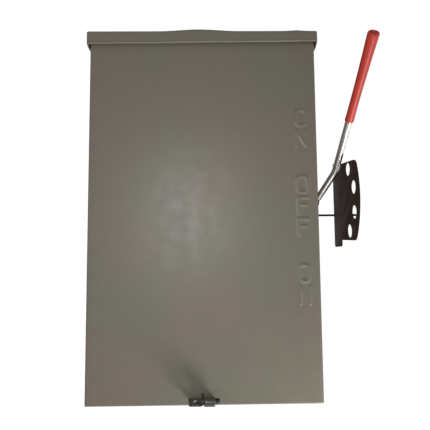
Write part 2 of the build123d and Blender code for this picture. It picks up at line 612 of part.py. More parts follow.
def make_pan():
    """Raised steel pan with its nuts, and the two bearing brackets."""
    pan = block(-PAN_HALF_W, PAN_HALF_W, PAN_Y, -SHEET, *PAN_Z)
    inner = PAN_HALF_W - PAN_SHEET
    pan -= block(-inner, inner, PAN_Y + PAN_SHEET, 0, PAN_Z[0] - 1, PAN_Z[1] + 1)
    for x, z in PAN_STUDS:
        pan -= rod_y(3.4, -40, 0, x, z)
        keep("pan_nuts", rod_y(3.1, -36, -SHEET, x, z) + hex_y(11.0, PAN_Y - 5, PAN_Y, x, z))
    keep("mounting_pan", pan)

    names = ("bearing_bracket_left", "bearing_bracket_right")
    for name, x0, foot_dir in zip(names, BEARING_X, (-1, 1)):
        outline = Pos((PAN_Y + FRAME_FRONT_Y) / 2, PIVOT_Z) * Rectangle(
            PAN_Y - FRAME_FRONT_Y, 2 * BEARING_HALF_H)
        outline = fillet(outline.vertices().sort_by(Axis.X)[:2], 24.0)
        outline -= Pos(PIVOT_Y, PIVOT_Z) * Circle(JOURNAL_R + RUNNING_FIT)
        bracket = plate_x(outline, x0, BEARING_T)
        foot_x0 = x0 if foot_dir < 0 else x0 + BEARING_T
        foot_x1 = foot_x0 + foot_dir * 20
        bracket += block(foot_x0, foot_x1, PAN_Y - BEARING_T, PAN_Y, PIVOT_Z - BEARING_HALF_H,
                         PIVOT_Z + BEARING_HALF_H)
        for dz in (-28, 28):
            x = (foot_x0 + foot_x1) / 2
            bracket -= rod_y(2.6, -40, -20, x, PIVOT_Z + dz)
            keep("base_screws", slotted_screw_y(5, 3, 2.6, PAN_Y - 3, PAN_Y, x, PIVOT_Z + dz))
        keep(name, bracket)


def make_pole(number, x):
    """One pole: insulating base, jaws, hinge clip, blade, lugs and screws."""
    base = block(x - POLE_LEFT, x + POLE_RIGHT, BASE_Y, PAN_Y, PIVOT_Z - BASE_HALF_H,
                 PIVOT_Z + BASE_HALF_H)
    base = fillet(base.faces().sort_by(Axis.Y)[0].edges(), 1.5)
    for dz in (-155, 155):
        for dx in (-18, 38):
            base -= rod_y(6.0, -50, BASE_Y + 8, x + dx, PIVOT_Z + dz)
            base -= rod_y(2.6, -50, -20, x + dx, PIVOT_Z + dz)
            screw = slotted_screw_y(5, 3, 2.6, BASE_Y + 8, PAN_Y, x + dx, PIVOT_Z + dz)
            keep("base_screws", screw)
    for dz in (-82, 82):
        base -= block(x - POLE_LEFT - 1, x + 14, BASE_Y - 1, BASE_Y + 3, PIVOT_Z + dz - 2,
                      PIVOT_Z + dz + 2)
    keep(f"pole_base_{number}", base)

    strap_y = BASE_Y - STRAP_T
    for name, sign in (("upper", 1), ("lower", -1)):
        z0 = PIVOT_Z + sign * 37.0
        z1 = PIVOT_Z + sign * 71.0
        z2 = PIVOT_Z + sign * 130.0
        jaw = block(x - 10, x + 10, strap_y, BASE_Y, z0, z2)
        leaf = make_face(Polyline((strap_y, z0), (-92, z0), (-104, z0 + sign * 10),
                                  (-104, z1 - sign * 8), (-96, z1), (strap_y, z1), close=True))
        for leaf_x in (x - CLIP_GAP - LEAF_T, x + CLIP_GAP):
            jaw += plate_x(leaf, leaf_x, LEAF_T)
        keep(f"{name}_jaw_{number}", jaw)
        lug_z0 = PIVOT_Z + sign * 98.0
        make_lug(f"{name}_lug_{number}", x, 13.0, strap_y, lug_z0, z2)

    clip = block(x - 10, x + 44, strap_y, BASE_Y, PIVOT_Z - 16, PIVOT_Z + 16)
    ring = Pos(PIVOT_Y, PIVOT_Z) * Circle(21.5)
    stem = Pos((PIVOT_Y + strap_y) / 2, PIVOT_Z) * Rectangle(strap_y - PIVOT_Y, 32)
    outline = ring + stem - Pos(PIVOT_Y, PIVOT_Z) * Circle(16.6)
    for leaf_x in (x - CLIP_GAP - LEAF_T, x + CLIP_GAP):
        clip += plate_x(outline, leaf_x, LEAF_T)
    keep(f"hinge_clip_{number}", clip)
    make_lug(f"load_lug_{number}", x + 32, 12.0, strap_y, PIVOT_Z - 16, PIVOT_Z + 16)

    arm_mid = PIVOT_Y + BLADE_REACH / 2
    arm = Pos(arm_mid, PIVOT_Z) * Rectangle(BLADE_REACH, BLADE_W)
    arm = fillet(arm.vertices().sort_by(Axis.X)[-2:], 5.0)
    arm += Pos(PIVOT_Y, PIVOT_Z) * Circle(21.0)
    arm -= Pos(PIVOT_Y, PIVOT_Z) * Rectangle(CROSSBAR, CROSSBAR)
    blade = plate_x(arm, x - BLADE_T / 2, BLADE_T)
    keep(f"blade_{number}", turned(blade, -THROW))


def make_lug(node, x, half_w, back_y, z0, z1):
    """Aluminium wire lug with a cable bore along Z and a set screw from the front."""
    low = min(z0, z1)
    high = max(z0, z1)
    middle = (low + high) / 2
    front_y = back_y - LUG_H
    bore_y = back_y - 11.0
    lug = block(x - half_w, x + half_w, front_y, back_y, low, high)
    lug = fillet(lug.faces().sort_by(Axis.Y)[0].edges(), 2.0)
    lug -= rod_z(LUG_BORE_R, low - 5, high + 5, x, bore_y)
    screw_r = 5.5
    lug -= rod_y(screw_r, front_y - 1, bore_y, x, middle)
    keep(node, lug)
    screw = rod_y(screw_r, front_y - 2, bore_y - LUG_BORE_R - 0.5, x, middle)
    socket = hex_y(5.5, front_y - 3, front_y + 3, x, middle)
    keep("lug_screws", screw - socket)


def make_barriers():
    """Fibre sheets between the poles, notched for the crossbar."""
    for x in POLE_X[:2]:
        outline = Pos((PAN_Y + FRAME_FRONT_Y) / 2, PIVOT_Z) * Rectangle(
            PAN_Y - FRAME_FRONT_Y, 176)
        notch = Pos(PIVOT_Y, PIVOT_Z) * Circle(17.0)
        notch += Pos(PIVOT_Y - 30, PIVOT_Z) * Rectangle(60, 34)
        sheet = plate_x(outline - notch, x + POLE_RIGHT + 1, 2)
        keep("phase_barriers", sheet)


def make_neutral_and_ground():
    """Insulated neutral bar and bonded ground bar below the poles."""
    base = block(-110, 10, BASE_Y, PAN_Y, -232, -192)
    base = fillet(base.faces().sort_by(Axis.Y)[0].edges(), 1.5)
    keep("neutral_base", base)
    bar = block(-104, 4, BASE_Y - 22, BASE_Y, -226, -198)
    for x in (-90, -62, -34, -10):
        bar -= rod_z(6.5, -240, -180, x, BASE_Y - 11)
        bar -= rod_y(4.5, BASE_Y - 30, BASE_Y - 11, x, -212)
        screw = rod_y(4.5, BASE_Y - 24, BASE_Y - 18, x, -212)
        keep("lug_screws", screw - hex_y(5.0, BASE_Y - 25, BASE_Y - 20, x, -212))
    keep("neutral_bar", bar)

    ground = block(60, 150, PAN_Y - 16, PAN_Y, -224, -208)
    for index in range(5):
        x = 72 + index * 16.5
        ground -= rod_z(3.0, -240, -200, x, PAN_Y - 9)
        ground -= rod_y(2.4, PAN_Y - 20, PAN_Y - 9, x, -216)
        keep("ground_screws", slotted_screw_y(3.6, 2.5, 2.4, PAN_Y - 16, PAN_Y - 12.5, x, -216))
    keep("ground_bar", ground)


make_enclosure_body()
make_bottom_wall()
make_top_hood()
make_hub_closure()
make_hinge_pins()
make_front_cover()
make_hasps()
make_slide_bolt()
make_handle()
make_shaft()
make_index_plate()
make_pan()
for pole_number, pole_x in enumerate(POLE_X, start=1):
    make_pole(pole_number, pole_x)
make_barriers()
make_neutral_and_ground()

for node, pieces in solids.items():
    whole = pieces[0] if len(pieces) == 1 else Compound(pieces)
    export_step(whole, f"parts/{node}.step")
print(len(solids), "nodes,", sum(len(p) for p in solids.values()), "pieces")
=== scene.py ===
"""Looks of the double-throw disconnect switch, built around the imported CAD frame.

Every length is in metres, in the frame of the CAD: +X right, +Z up, the box's front faces -Y.
"""

import json
import math

import bmesh
import bpy
import numpy as np
from mathutils import Matrix, Vector


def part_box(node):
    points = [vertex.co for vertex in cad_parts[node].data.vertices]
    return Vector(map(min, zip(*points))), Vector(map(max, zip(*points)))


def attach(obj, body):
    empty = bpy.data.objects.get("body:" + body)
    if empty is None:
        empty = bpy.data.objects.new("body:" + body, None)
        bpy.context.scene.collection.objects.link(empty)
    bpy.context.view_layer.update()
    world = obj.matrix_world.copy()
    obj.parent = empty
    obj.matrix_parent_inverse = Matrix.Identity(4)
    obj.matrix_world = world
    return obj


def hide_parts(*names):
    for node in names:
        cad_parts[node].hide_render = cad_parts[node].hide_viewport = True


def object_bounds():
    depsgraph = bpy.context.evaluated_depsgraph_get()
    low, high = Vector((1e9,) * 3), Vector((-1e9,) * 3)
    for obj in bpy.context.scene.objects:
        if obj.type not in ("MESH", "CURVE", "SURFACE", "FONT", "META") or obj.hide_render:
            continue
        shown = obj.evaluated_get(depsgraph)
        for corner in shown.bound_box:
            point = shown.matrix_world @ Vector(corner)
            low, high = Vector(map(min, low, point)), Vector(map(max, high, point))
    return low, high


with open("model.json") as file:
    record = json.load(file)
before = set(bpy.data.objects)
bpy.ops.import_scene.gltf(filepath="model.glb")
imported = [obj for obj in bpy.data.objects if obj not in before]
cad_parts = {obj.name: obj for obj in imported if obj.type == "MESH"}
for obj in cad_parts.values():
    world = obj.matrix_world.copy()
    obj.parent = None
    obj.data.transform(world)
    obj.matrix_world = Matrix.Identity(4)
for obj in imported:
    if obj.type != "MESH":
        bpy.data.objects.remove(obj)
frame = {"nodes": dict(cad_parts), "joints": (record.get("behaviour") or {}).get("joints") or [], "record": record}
CAD_BOX = [list(corner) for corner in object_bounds()]
MM = 0.001
SHEET = 1.9 * MM
JOINTS = {joint["name"]: joint for joint in frame["joints"]}
PIVOT = Vector(JOINTS["handle_throw"]["pos_m"])
THROW = math.radians(JOINTS["handle_throw"]["range_deg"][1]) / 2
HINGE = Vector(JOINTS["cover_lift"]["pos_m"])

# ---------------------------------------------------------------- materials


class Nodes:
    """A material under construction: its node tree and its principled shader."""

    def __init__(self, name, rough, metallic=0.0, specular=0.5, coat=0.0, coat_rough=0.1):
        self.material = bpy.data.materials.new(name)
        self.material.use_nodes = True
        self.tree = self.material.node_tree
        self.shader = self.tree.nodes["Principled BSDF"]
        self.set("Roughness", rough)
        self.set("Metallic", metallic)
        self.set("Specular IOR Level", specular)
        self.set("Coat Weight", coat)
        self.set("Coat Roughness", coat_rough)
        self.place = self.tree.nodes.new("ShaderNodeTexCoord").outputs["Object"]

    def set(self, socket, value):
        self.shader.inputs[socket].default_value = value

    def link(self, source, socket):
        self.tree.links.new(source, socket)

    def noise(self, scale, detail=3.0, stretch=None):
        """Fractal noise in object space; stretch scales each axis first."""
        source = self.place
        if stretch:
            mapping = self.tree.nodes.new("ShaderNodeMapping")
            mapping.inputs["Scale"].default_value = stretch
            self.link(source, mapping.inputs["Vector"])
            source = mapping.outputs["Vector"]
        node = self.tree.nodes.new("ShaderNodeTexNoise")
        node.inputs["Scale"].default_value = scale
        node.inputs["Detail"].default_value = detail
        self.link(source, node.inputs["Vector"])
        return node.outputs["Fac"]

    def ramp(self, factor, *stops):
        """A colour ramp; each stop is (place, value or colour)."""
        node = self.tree.nodes.new("ShaderNodeValToRGB")
        elements = node.color_ramp.elements
        while len(elements) < len(stops):
            elements.new(0.5)
        for element, (place, value) in zip(elements, stops):
            element.position = place
            colour = value if isinstance(value, tuple) else (value, value, value)
            element.color = (*colour, 1.0)
        self.link(factor, node.inputs["Fac"])
        return node.outputs["Color"]

    def mix(self, factor, first, second):
        """Mix two colours by a linked factor."""
        node = self.tree.nodes.new("ShaderNodeMix")
        node.data_type = "RGBA"
        self.link(factor, node.inputs[0])
        for socket, value in ((node.inputs[6], first), (node.inputs[7], second)):
            if isinstance(value, tuple):
                socket.default_value = (*value, 1.0)
            else:
                self.link(value, socket)
        return node.outputs[2]

    def bump(self, height, distance, strength, below=None):
        """Chain a bump of the given height in metres onto the shader's normal."""
        node = self.tree.nodes.new("ShaderNodeBump")
        node.inputs["Strength"].default_value = strength
        node.inputs["Distance"].default_value = distance
        self.link(height, node.inputs["Height"])
        if below is not None:
            self.link(below, node.inputs["Normal"])
        self.link(node.outputs["Normal"], self.shader.inputs["Normal"])
        return node.outputs["Normal"]


def tone(colour, factor):
    """The colour made lighter or darker."""
    return tuple(channel * factor for channel in colour)


def enamel(name, colour, rough=0.42, peel=1.0, specular=0.5):
    """Baked enamel on sheet steel: orange peel, faint mottling, a little dust."""
    m = Nodes(name, rough, specular=specular)
    broad = m.noise(7.0, detail=4.0)
    green = (colour[0] * 0.96, colour[1] * 1.01, colour[2] * 0.98)
    warm = (colour[0] * 1.08, colour[1] * 0.98, colour[2] * 0.99)
    base = m.mix(m.ramp(broad, (0.38, 0.0), (0.62, 1.0)), green, warm)
    dust = m.ramp(m.noise(420.0, detail=2.0), (0.45, 0.0), (0.8, 0.35))
    m.link(m.mix(dust, base, tone(colour, 1.3)), m.shader.inputs["Base Color"])
    m.link(m.ramp(m.noise(40.0), (0.3, rough - 0.04), (0.7, rough + 0.05)),
           m.shader.inputs["Roughness"])
    m.bump(m.noise(650.0, detail=2.0), 0.05 * MM, 0.35 * peel)
    return m.material


def bare_metal(name, colour, rough, grain=(1.0, 1.0, 1.0), dirt=0.25):
    """Plated or rolled metal with faint grain and dull patches."""
    m = Nodes(name, rough, metallic=1.0)
    patches = m.ramp(m.noise(60.0, detail=4.0), (0.35, 0.0), (0.75, dirt))
    m.link(m.mix(patches, colour, tone(colour, 0.55)), m.shader.inputs["Base Color"])
    m.link(m.ramp(m.noise(300.0, stretch=grain), (0.3, rough - 0.06), (0.7, rough + 0.1)),
           m.shader.inputs["Roughness"])
    m.bump(m.noise(900.0, detail=2.0, stretch=grain), 0.02 * MM, 0.3)
    return m.material


def chrome(name):
    """Bright plating with hairline handling scratches."""
    m = Nodes(name, 0.1, metallic=1.0)
    m.link(m.ramp(m.noise(35.0, detail=4.0), (0.35, 0.06), (0.8, 0.18)),
           m.shader.inputs["Roughness"])
    smudge = m.ramp(m.noise(120.0), (0.4, 0.0), (0.8, 0.3))
    m.link(m.mix(smudge, (0.74, 0.74, 0.75), (0.52, 0.51, 0.5)), m.shader.inputs["Base Color"])
    m.bump(m.noise(700.0, stretch=(1.0, 1.0, 0.2)), 0.01 * MM, 0.25)
    return m.material


def moulded(name, colour, rough, fleck=None, gloss_coat=0.0, specular=0.5):
    """Moulded plastic or rubber with a fine skin texture."""
    m = Nodes(name, rough, specular=specular, coat=gloss_coat, coat_rough=0.2)
    base = m.mix(m.ramp(m.noise(25.0, detail=4.0), (0.3, 0.0), (0.7, 1.0)), tone(colour, 0.88),
                 tone(colour, 1.1))
    if fleck:
        base = m.mix(m.ramp(m.noise(500.0, detail=1.0), (0.55, 0.0), (0.7, 0.6)), base, fleck)
    m.link(base, m.shader.inputs["Base Color"])
    m.bump(m.noise(1100.0, detail=2.0), 0.04 * MM, 0.4)
    return m.material


MATERIALS = {
    "enclosure_paint": enamel("enclosure_paint", (0.16, 0.147, 0.118), rough=0.4),
    # the latch parts share the enclosure's grey paint; this darker copy is painted shade, standing for the shadow
    # they lie in
    "latch_painted_shade": enamel("latch_painted_shade", (0.06, 0.056, 0.045), rough=0.3, peel=1.6),
    "plate_paint": enamel("plate_paint", (0.042, 0.02, 0.0155), rough=0.6, specular=0.05),
    "chrome": chrome("chrome"),
    "grip_vinyl": moulded("grip_vinyl", (0.45, 0.04, 0.026), 0.42, specular=0.35),
    "hub_casting": enamel("hub_casting", (0.02, 0.019, 0.018), rough=0.55, peel=3.0),
    "zinc_steel": bare_metal("zinc_steel", (0.58, 0.58, 0.55), 0.34),
    "black_knob": moulded("black_knob", (0.006, 0.006, 0.006), 0.4),
    "rubber_seal": moulded("rubber_seal", (0.015, 0.015, 0.015), 0.7),
    "bronze": bare_metal("bronze", (0.5, 0.33, 0.15), 0.4),
    "copper": bare_metal("copper", (0.78, 0.36, 0.2), 0.3, grain=(1.0, 0.15, 1.0), dirt=0.45),
    "lug_aluminium": bare_metal("lug_aluminium", (0.72, 0.72, 0.71), 0.38, grain=(1.0, 1.0, 0.1)),
    "set_screw_steel": bare_metal("set_screw_steel", (0.22, 0.22, 0.22), 0.4),
    "ground_screw_steel": moulded("ground_screw_steel", (0.02, 0.18, 0.045), 0.35,
                                  gloss_coat=0.4),
    "base_phenolic": moulded("base_phenolic", (0.014, 0.013, 0.012), 0.38,
                             fleck=(0.035, 0.03, 0.022)),
    "crossbar_polyester": moulded("crossbar_polyester", (0.25, 0.025, 0.014), 0.45,
                                  fleck=(0.42, 0.09, 0.06)),
    "barrier_fibre": moulded("barrier_fibre", (0.16, 0.16, 0.15), 0.75,
                             fleck=(0.22, 0.21, 0.19)),
}
SLOT_OF = {part["node"]: part["material_slot"] for part in frame["record"]["subparts"]}
# the three latch parts take the darkened paint copy: painted shade over the enclosure's own paint
FINISH_AND_PAINTED_SHADE_OF = {**SLOT_OF, "latch_barrel": "latch_painted_shade", "cover_hasp": "latch_painted_shade",
             "body_hasp": "latch_painted_shade"}

# ---------------------------------------------------------------- mesh helpers

SAME_POINT = 0.005 * MM        # vertices closer than this are one vertex
CREASE = 32.0                  # degrees; sharper edges stay crisp
ROUND_CREASE = 50.0            # the same for pieces that are round all over
CAPPED_CREASE = 60.0           # and for the grip, which is soft everywhere


def smooth_by_angle(obj, degrees):
    """Smooth shading, with edges sharper than the angle kept crisp."""
    mesh = obj.data
    mesh.polygons.foreach_set("use_smooth", [True] * len(mesh.polygons))
    work = bmesh.new()
    work.from_mesh(mesh)
    for edge in work.edges:
        if len(edge.link_faces) == 2:
            edge.smooth = edge.calc_face_angle(0.0) < math.radians(degrees)
    work.to_mesh(mesh)
    work.free()


BEVEL_ABOVE = 35.0             # degrees between the faces at an edge that is softened


def bevel(obj, width):
    """A bevel modifier on the sharp edges."""
    modifier = obj.modifiers.new("bevel", "BEVEL")
    modifier.width = width
    modifier.segments = 2
    modifier.limit_method = "ANGLE"
    modifier.angle_limit = math.radians(BEVEL_ABOVE)
    modifier.harden_normals = True


def apply_modifiers(obj):
    """Replace the mesh with its evaluated form."""
    graph = bpy.context.evaluated_depsgraph_get()
    baked = bpy.data.meshes.new_from_object(obj.evaluated_get(graph))
    obj.modifiers.clear()
    obj.data = baked


def new_object(name, data):
    """Put new data in the scene under a name."""
    obj = bpy.data.objects.new(name, data)
    bpy.context.scene.collection.objects.link(obj)
    return obj


def mesh_object(name, vertices, faces):
    """A new mesh with merged vertices and consistent normals."""
    mesh = bpy.data.meshes.new(name)
    mesh.from_pydata([tuple(v) for v in vertices], [], faces)
    work = bmesh.new()
    work.from_mesh(mesh)
    bmesh.ops.remove_doubles(work, verts=work.verts, dist=2 * SAME_POINT)
    bmesh.ops.dissolve_degenerate(work, edges=work.edges, dist=SAME_POINT)
    bmesh.ops.recalc_face_normals(work, faces=work.faces)
    work.to_mesh(mesh)
    work.free()
    return new_object(name, mesh)


def stands_for(obj, node, degrees=CREASE):
    """Finish a piece: it takes a CAD node's place, body and material."""
    slot = SLOT_OF[node]
    obj.data.materials.clear()
    obj.data.materials.append(MATERIALS[slot])
    smooth_by_angle(obj, degrees)
    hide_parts(node)
    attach(obj, NODE_BODY[node])


NODE_BODY = {node: body for body, members in frame["record"]["behaviour"]["bodies"].items()
             for node in members}


def steps(start, end, pitch):
    """Evenly spaced places from start to end, no further apart than the pitch."""
    return list(np.linspace(start, end, math.ceil(abs(end - start) / pitch) + 1))


NEAR_REPEAT = 0.05 * MM


def merged(*groups):
    """Sorted places from several lists, without near repeats."""
    places = sorted(place for group in groups for place in group)
    kept = places[:1]
    for place in places:
        if place - kept[-1] > NEAR_REPEAT:
            kept.append(place)
    return kept


def grid_faces(rows, columns, offset, skip=None):
    """Quads over a row-by-column grid of vertices."""
    faces = []
    for r in range(rows - 1):
        for c in range(columns - 1):
            if skip and skip(r, c):
                continue
            a = offset + r * columns + c
            faces.append((a, a + 1, a + 1 + columns, a + columns))
    return faces


def bend_lines(edge, inward, radius, count=4):
    """Places beside a sheet's folded edge that fall at equal angles round its bend."""
    return [edge + inward * radius * (1 - math.tan(math.radians(45.0 * k / count)))
            for k in range(count + 1)]


def rounded(point, low, high, radius):
    """Pull a point on a sharp box in to the same box with rounded edges."""
    core = Vector([min(max(p, a + radius), b - radius) for p, a, b in zip(point, low, high)])
    away = point - core
    if away.length < 1e-9:
        return point
    return core + away.normalized() * radius


def thicken(obj, thickness, inside):
    """Give an open sheet its thickness on the side that faces a point."""
    score = sum(p.normal.dot(inside - p.center) * p.area for p in obj.data.polygons)
    modifier = obj.modifiers.new("sheet", "SOLIDIFY")
    modifier.thickness = thickness
    modifier.offset = 1.0 if score > 0 else -1.0
    modifier.use_even_offset = True
    apply_modifiers(obj)


def sweep(name, centres, across, sides=40, ripple=None):
    """A tube through rings: each centre has (point, direction, radius)."""
    vertices = []
    for index, (point, direction, radius) in enumerate(centres):
        second = direction.cross(across).normalized()
        first = second.cross(direction).normalized()
        for k in range(sides):
            angle = 2 * math.pi * k / sides
            r = radius * (ripple(index, angle) if ripple else 1.0)
            vertices.append(point + (first * math.cos(angle) + second * math.sin(angle)) * r)
    faces = []
    for ring in range(len(centres) - 1):
        for k in range(sides):
            n = (k + 1) % sides
            a = ring * sides
            faces.append((a + k, a + n, a + sides + n, a + sides + k))
    faces.append(tuple(range(sides)))
    faces.append(tuple(range(len(vertices) - sides, len(vertices))))
    return mesh_object(name, vertices, faces)


def arc(centre, radius, start, end, count):
    """Points of an arc in a plane; angles in degrees."""
    return [(centre[0] + radius * math.cos(math.radians(start + (end - start) * k / count)),
             centre[1] + radius * math.sin(math.radians(start + (end - start) * k / count)))
            for k in range(count + 1)]


def stamped_plate(name, outlines, thickness, edge, turn):
    """A flat blank with holes and softened edges, from closed outlines; turn places it."""
    curve = bpy.data.curves.new(name, "CURVE")
    curve.dimensions = "2D"
    curve.fill_mode = "BOTH"
    curve.extrude = thickness / 2 - edge
    curve.bevel_depth = edge
    curve.bevel_resolution = 2
    curve.offset = -edge
    for outline in outlines:
        spline = curve.splines.new("POLY")
        spline.points.add(len(outline) - 1)
        for point, (u, v) in zip(spline.points, outline):
            point.co = (u, v, 0.0, 1.0)
        spline.use_cyclic_u = True
    source = new_object(name + "_outline", curve)
    graph = bpy.context.evaluated_depsgraph_get()
    mesh = bpy.data.meshes.new_from_object(source.evaluated_get(graph))
    bpy.data.objects.remove(source)
    mesh.transform(turn)
    work = bmesh.new()
    work.from_mesh(mesh)
    bmesh.ops.remove_doubles(work, verts=work.verts, dist=SAME_POINT)
    bmesh.ops.recalc_face_normals(work, faces=work.faces)
    work.to_mesh(mesh)
    work.free()
    return new_object(name, mesh)


# ---------------------------------------------------------------- front cover

BEND = 2.8 * MM
COVER_FLANGE = 22.0 * MM
LETTER_X = 177.6 * MM
LETTER_W = 22.5 * MM
LETTER_H = 33.5 * MM
LETTER_PITCH = 38.0 * MM
LETTER_RISE = 1.0 * MM
STROKE = 5.2 * MM
SHOULDER = 3.4 * MM
LEGENDS = (("ON", 150.5 * MM), ("OFF", 10.5 * MM), ("ON", -127.5 * MM))
O_ROUNDING = 0.8                # corner radius of the O over its half width
BAR_HEIGHT = 0.08               # middle bar of the F, over half the letter's height
BAR_LENGTH = 0.75               # and its end, over half the letter's width
LETTER_GRID = 0.8 * MM
SHEET_GRID = 12.0 * MM
OIL_CAN = 0.25 * MM
HASP_SLOT_X = (-27.5 * MM, -1.2 * MM)
HASP_SLOT_Z = (-327.2 * MM, -317.5 * MM)
EAR_NOTCH_X = (-5.2 * MM, -1.2 * MM)
EAR_NOTCH_TOP = -309.8 * MM


def segment_distance(u, v, start, end):
    """Distance from the points (u, v) to a straight stroke."""
    du = end[0] - start[0]
    dv = end[1] - start[1]
    along = np.clip(((u - start[0]) * du + (v - start[1]) * dv) / (du * du + dv * dv), 0, 1)
    return np.hypot(u - start[0] - along * du, v - start[1] - along * dv)


def letter_distance(character, u, v):
    """Distance to the middle line of a letter's strokes, u to its right and v up."""
    half_w = (LETTER_W - STROKE) / 2
    half_h = (LETTER_H - STROKE) / 2
    if character == "O":
        corner = half_w * O_ROUNDING
        qx = np.abs(u) - (half_w - corner)
        qy = np.abs(v) - (half_h - corner)
        outside = np.hypot(np.maximum(qx, 0), np.maximum(qy, 0))
        return np.abs(outside + np.minimum(np.maximum(qx, qy), 0) - corner)
    strokes = [((-half_w, -half_h), (-half_w, half_h))]
    if character == "N":
        strokes.append(((half_w, -half_h), (half_w, half_h)))
        strokes.append(((-half_w, half_h), (half_w, -half_h)))
    else:
        strokes.append(((-half_w, half_h), (half_w, half_h)))
        middle = half_h * BAR_HEIGHT
        strokes.append(((-half_w, middle), (half_w * BAR_LENGTH, middle)))
    return np.min([segment_distance(u, v, *stroke) for stroke in strokes], axis=0)


def emboss(x, z):
    """Height of the raised legends above the cover at (x, z)."""
    height = np.zeros_like(x)
    for word, centre in LEGENDS:
        for index, character in enumerate(word):
            u = x - LETTER_X
            v = z - centre + (index - (len(word) - 1) / 2) * LETTER_PITCH
            near = (np.abs(u) < LETTER_W) & (np.abs(v) < LETTER_H)
            distance = letter_distance(character, u[near], v[near])
            t = np.clip((STROKE / 2 + SHOULDER / 2 - distance) / SHOULDER, 0, 1)
            height[near] = np.maximum(height[near], LETTER_RISE * t * t * (3 - 2 * t))
    return height


def oil_can(x, z, half_w, low, high):
    """The slow in-and-out waviness of a large flat sheet, held flat at its edges."""
    s = x / half_w
    t = 2 * (z - low) / (high - low) - 1
    hold = (1 - s ** 4) * (1 - t ** 4)
    return OIL_CAN * hold * (np.sin(2.1 * s + 1.4 * t) + 0.6 * np.sin(3.7 * t - 1.1 * s + 0.8))


def make_cover():
    """Cover pan: folded sheet with raised legends, hinge ears and the hasp's slot."""
    low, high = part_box("front_cover")
    front = low.y + LETTER_RISE
    back = front + COVER_FLANGE
    half_w = high.x
    words = []
    for word, centre in LEGENDS:
        reach = (len(word) * LETTER_PITCH) / 2
        words += steps(centre - reach, centre + reach, LETTER_GRID)
    half_column = LETTER_W / 2 + SHOULDER
    x_lines = merged(bend_lines(-half_w, 1, BEND), bend_lines(half_w, -1, BEND),
                     steps(-half_w + BEND, LETTER_X - half_column, SHEET_GRID),
                     steps(LETTER_X - half_column, LETTER_X + half_column, LETTER_GRID),
                     HASP_SLOT_X, EAR_NOTCH_X)
    z_lines = merged(bend_lines(low.z, 1, BEND), steps(low.z + BEND, high.z, SHEET_GRID),
                     words, HASP_SLOT_Z, [EAR_NOTCH_TOP])
    y_lines = merged(bend_lines(front, 1, BEND), steps(front + BEND, back, SHEET_GRID))
    box_low = Vector((-half_w, front, low.z))
    box_high = Vector((half_w, 1.0, 1.0))

    def in_slot(row, column):
        x = (x_lines[column] + x_lines[column + 1]) / 2
        z = (z_lines[row] + z_lines[row + 1]) / 2
        in_main = HASP_SLOT_X[0] < x < HASP_SLOT_X[1] and HASP_SLOT_Z[0] < z < HASP_SLOT_Z[1]
        in_notch = EAR_NOTCH_X[0] < x < EAR_NOTCH_X[1] and HASP_SLOT_Z[1] < z < EAR_NOTCH_TOP
        return in_main or in_notch

    gx, gz = np.meshgrid(x_lines, z_lines)
    push = emboss(gx, gz) + oil_can(gx, gz, half_w, low.z, high.z)
    push = np.where(np.abs(gx) > half_w - BEND, 0, push)
    vertices = []
    for r, z in enumerate(z_lines):
        for c, x in enumerate(x_lines):
            point = rounded(Vector((x, front, z)), box_low, box_high, BEND)
            point.y -= push[r, c]
            vertices.append(point)
    faces = grid_faces(len(z_lines), len(x_lines), 0, in_slot)
    for side in (-1, 1):
        faces += grid_faces(len(z_lines), len(y_lines), len(vertices))
        vertices += [rounded(Vector((side * half_w, y, z)), box_low, box_high, BEND)
                     for z in z_lines for y in y_lines]
    faces += grid_faces(len(y_lines), len(x_lines), len(vertices))
    vertices += [rounded(Vector((x, y, low.z)), box_low, box_high, BEND)
                 for y in y_lines for x in x_lines]
    shell = mesh_object("cover_shell", vertices, faces)
    thicken(shell, SHEET, inside=Vector((0, 0, 0)))
    stands_for(shell, "front_cover")
    for side, name in ((-1, "cover_ear_left"), (1, "cover_ear_right")):
        make_ear(name, side, half_w, back)


EAR_HALF_H = 10.0 * MM
EAR_TAIL = 9.0 * MM
EAR_CORNER = 7.0 * MM
HINGE_HOLE_R = 3.25 * MM
EDGE = 0.3 * MM


def make_ear(name, side, half_w, back):
    """Rounded hinge ear that carries the cover on its pin."""
    y = HINGE.y
    z = HINGE.z
    tail = y + EAR_TAIL - EAR_CORNER
    outline = [(back - 1.0 * MM, z - EAR_HALF_H)]
    outline += arc((tail, z - EAR_HALF_H + EAR_CORNER), EAR_CORNER, -90, 0, 10)
    outline += arc((tail, z + EAR_HALF_H - EAR_CORNER), EAR_CORNER, 0, 90, 10)
    outline += [(back - 1.0 * MM, z + EAR_HALF_H)]
    hole = arc((y, z), HINGE_HOLE_R, 0, 352, 44)
    middle = side * (half_w - SHEET / 2)
    ear = stamped_plate(name, [outline, hole], SHEET, EDGE, side_on(middle))
    stands_for(ear, "front_cover")


def side_on(x):
    """Places a flat blank's (u, v) at (x, y=u, z=v)."""
    return Matrix(((0, 0, 1, x), (1, 0, 0, 0), (0, 1, 0, 0), (0, 0, 0, 1)))


# ---------------------------------------------------------------- rain hood

HOOD_BEND = 3.2 * MM
HOOD_TOP = 330.2 * MM
LIP_H = 23.0 * MM
CORNER_CUT = 25.0 * MM
CROWN_X = -7.0 * MM
CROWN_HALF = 74.0 * MM
CROWN_DEPTH = 40.0 * MM
CROWN_RISE = 3.4 * MM
DENT_X = 172.0 * MM
DENT_HALF = 26.0 * MM
DENT_RISE = 1.2 * MM
HEM_R = 2.1 * MM
LIP_SLOPE = 0.009               # the lip climbs a little towards the right
LIP_LIFT = 0.7 * MM
HEM_H = 7.0 * MM
HUB_OPENING_R = 38.0 * MM
HUB_COLLAR_W = 13.0 * MM
HUB_GAP = 5.0 * MM              # the roof's grid stops this far outside the opening
ROOF_FADE = 8.0 * MM            # the crown fades out this far down the front
HOOD_GRID = 6.0 * MM
FINE_GRID = 3.0 * MM
HEM_BASE = 2.6 * MM
HEM_INSET = 1.2 * MM
HEM_PINCH = 0.35 * MM
